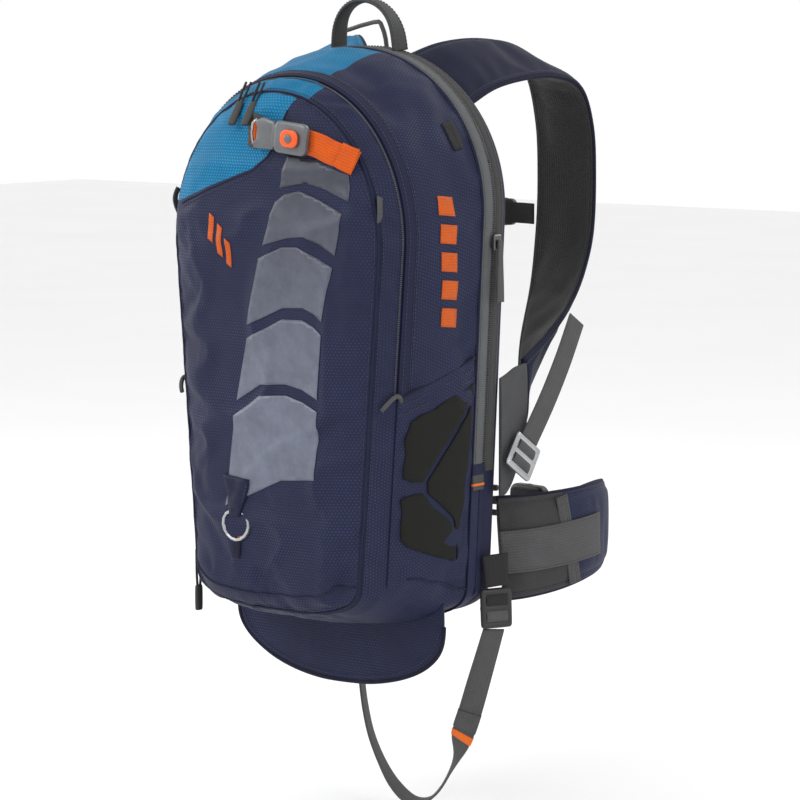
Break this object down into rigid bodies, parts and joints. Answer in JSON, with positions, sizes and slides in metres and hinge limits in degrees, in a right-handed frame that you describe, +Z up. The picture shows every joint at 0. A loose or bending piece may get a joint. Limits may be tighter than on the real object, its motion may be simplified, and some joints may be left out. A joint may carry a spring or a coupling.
{
  "type": "avalanche airbag backpack",
  "caption": "Ski pack with a zipped shell on a padded harness, holding a folded airbag, its inflation unit and gas cartridges, with hip belt and hanging leg strap.",
  "frame": {"origin": "inside top of the haul loop, where the pack hangs", "axes": "+Z up, -Y away from the wearer's back, +X to the wearer's right"},
  "size_m": [0.3529, 0.4009, 0.7603],
  "materials": {
    "navy_fabric": "matt ripstop weave",
    "blue_fabric": "matt ripstop weave",
    "grey_webbing": "woven webbing",
    "orange_webbing": "woven webbing",
    "dark_mesh": "spacer mesh",
    "rubber_patch": "coated, satin",
    "black_plastic": "moulded",
    "grey_plastic": "moulded",
    "orange_plastic": "moulded",
    "bright_metal": "polished",
    "cylinder_metal": "satin",
    "airbag_fabric": "coated nylon"
  },
  "bodies": {
    "root": {"haul_loop": "rubber_patch", "back_panel": "dark_mesh", "frame_sheet": "black_plastic", "stay_left": "bright_metal", "stay_right": "bright_metal", "back_pad_left": "dark_mesh", "back_pad_right": "dark_mesh", "lumbar_pad": "dark_mesh", "harness_zip_tape": "grey_webbing", "shoulder_strap_right": "navy_fabric", "shoulder_strap_left": "blue_fabric", "adjuster_webbing_right": "grey_webbing", "adjuster_webbing_left": "grey_webbing", "stabiliser_wing_right": "grey_webbing", "stabiliser_wing_left": "grey_webbing", "trigger_cable": "black_plastic", "inflator_body": "grey_plastic", "folded_airbag": "airbag_fabric", "leg_strap": "grey_webbing", "leg_strap_tab": "black_plastic"},
    "pack_shell": {"shell": "navy_fabric", "shell_zip_tape": "grey_webbing", "lower_front_panel": "navy_fabric", "side_pocket_right": "navy_fabric", "side_pocket_left": "navy_fabric", "side_patch_right": "rubber_patch", "side_patch_left": "rubber_patch", "d_ring_tab": "navy_fabric"},
    "front_pocket": {"pocket_cover": "navy_fabric", "tool_strap": "orange_webbing", "tool_buckle": "grey_plastic"},
    "tool_lever": {"tool_buckle_lever": "orange_plastic"},
    "pocket_pull_r": {"pocket_pull_right": "black_plastic"},
    "pocket_pull_l": {"pocket_pull_left": "black_plastic"},
    "flap": {"bottom_flap": "navy_fabric"},
    "gear_ring": {"d_ring": "bright_metal"},
    "bottom_pull": {"bottom_zip_pull": "black_plastic"},
    "main_slider": {"main_zip_slider": "bright_metal"},
    "main_pull": {"main_zip_pull": "grey_webbing"},
    "trigger": {"trigger_handle": "orange_plastic"},
    "firing_lever": {"inflator_lever": "orange_plastic"},
    "cartridge_r": {"cartridge_right": "cylinder_metal"},
    "cartridge_l": {"cartridge_left": "cylinder_metal"},
    "sternum": {"sternum_strap": "grey_webbing", "sternum_buckle": "black_plastic"},
    "hip_r": {"hip_wing_right": "navy_fabric", "hip_webbing_right": "grey_webbing", "hip_buckle_socket": "black_plastic"},
    "hip_l": {"hip_wing_left": "navy_fabric", "hip_webbing_left": "grey_webbing", "hip_buckle_plug": "black_plastic"},
    "lock_r": {"ladder_lock_right": "bright_metal"},
    "lock_l": {"ladder_lock_left": "bright_metal"},
    "leg_lock": {"leg_ladder_lock": "black_plastic"}
  },
  "joints": [
    {"name": "shell_open", "type": "hinge", "parent": "root", "child": "pack_shell", "pos_m": [0, -0.0077, -0.5665], "axis": [1, 0, 0], "range_deg": [0, 40]},
    {"name": "pocket_open", "type": "hinge", "parent": "pack_shell", "child": "front_pocket", "pos_m": [0, -0.1465, -0.3665], "axis": [1, 0, 0], "range_deg": [0, 50]},
    {"name": "tool_lever_lift", "type": "hinge", "parent": "front_pocket", "child": "tool_lever", "pos_m": [0.032, -0.164, -0.1185], "axis": [0.1045, 0, 0.9945], "range_deg": [-35, 0]},
    {"name": "pocket_pull_right_swing", "type": "hinge", "parent": "front_pocket", "child": "pocket_pull_r", "pos_m": [-0.016, -0.133, -0.0715], "axis": [1, 0, 0], "range_deg": [-80, 0]},
    {"name": "pocket_pull_left_swing", "type": "hinge", "parent": "front_pocket", "child": "pocket_pull_l", "pos_m": [-0.032, -0.133, -0.0715], "axis": [1, 0, 0], "range_deg": [-80, 0]},
    {"name": "flap_swing", "type": "hinge", "parent": "pack_shell", "child": "flap", "pos_m": [0, -0.0445, -0.5695], "axis": [1, 0, 0], "range_deg": [-75, 10]},
    {"name": "gear_ring_swing", "type": "hinge", "parent": "pack_shell", "child": "gear_ring", "pos_m": [-0.031, -0.1553, -0.4585], "axis": [1, 0, 0], "range_deg": [-80, 0]},
    {"name": "bottom_pull_swing", "type": "hinge", "parent": "pack_shell", "child": "bottom_pull", "pos_m": [-0.11544, -0.11209, -0.5085], "axis": [0, 1, 0], "range_deg": [0, 85]},
    {"name": "main_slider_slide", "type": "slide", "parent": "root", "child": "main_slider", "axis": [0.0482, 0, 0.9988], "range_m": [-0.19, 0.02]},
    {"name": "main_pull_swing", "type": "hinge", "parent": "main_slider", "child": "main_pull", "pos_m": [0.1573, -0.0077, -0.2145], "axis": [0, 1, 0], "range_deg": [-85, 0]},
    {"name": "trigger_pull", "type": "slide", "parent": "root", "child": "trigger", "axis": [0, 0, -1], "range_m": [0, 0.03]},
    {"name": "firing_lever_turn", "type": "hinge", "parent": "root", "child": "firing_lever", "pos_m": [-0.0515, -0.0287, -0.2875], "axis": [0, 1, 0], "range_deg": [-25, 0]},
    {"name": "cartridge_right_out", "type": "slide", "parent": "root", "child": "cartridge_r", "axis": [0, 0, -1], "range_m": [0, 0.03]},
    {"name": "cartridge_left_out", "type": "slide", "parent": "root", "child": "cartridge_l", "axis": [0, 0, -1], "range_m": [0, 0.03]},
    {"name": "sternum_slide", "type": "slide", "parent": "root", "child": "sternum", "axis": [0, 0, 1], "range_m": [-0.01, 0.02]},
    {"name": "hip_right_swing", "type": "hinge", "parent": "root", "child": "hip_r", "pos_m": [0.1235, 0.0265, -0.5015], "axis": [0, 0, 1], "range_deg": [-40, 0]},
    {"name": "hip_left_swing", "type": "hinge", "parent": "root", "child": "hip_l", "pos_m": [-0.1235, 0.0265, -0.5015], "axis": [0, 0, 1], "range_deg": [0, 40]},
    {"name": "lock_right_tilt", "type": "hinge", "parent": "root", "child": "lock_r", "pos_m": [0.155, 0.0315, -0.4135], "axis": [0.2547, 0.7277, -0.6369], "range_deg": [-8, 8]},
    {"name": "lock_left_tilt", "type": "hinge", "parent": "root", "child": "lock_l", "pos_m": [-0.155, 0.0315, -0.4135], "axis": [0.2521, -0.7204, 0.6462], "range_deg": [-8, 8]},
    {"name": "leg_lock_tilt", "type": "hinge", "parent": "root", "child": "leg_lock", "pos_m": [0.143, 0.0075, -0.5525], "axis": [0.4512, 0.8924, 0], "range_deg": [-10, 12]}
  ],
  "couplings": [
    {"joint": "firing_lever_turn", "follows": "trigger_pull", "rad_per_m": -14.5}
  ]
}
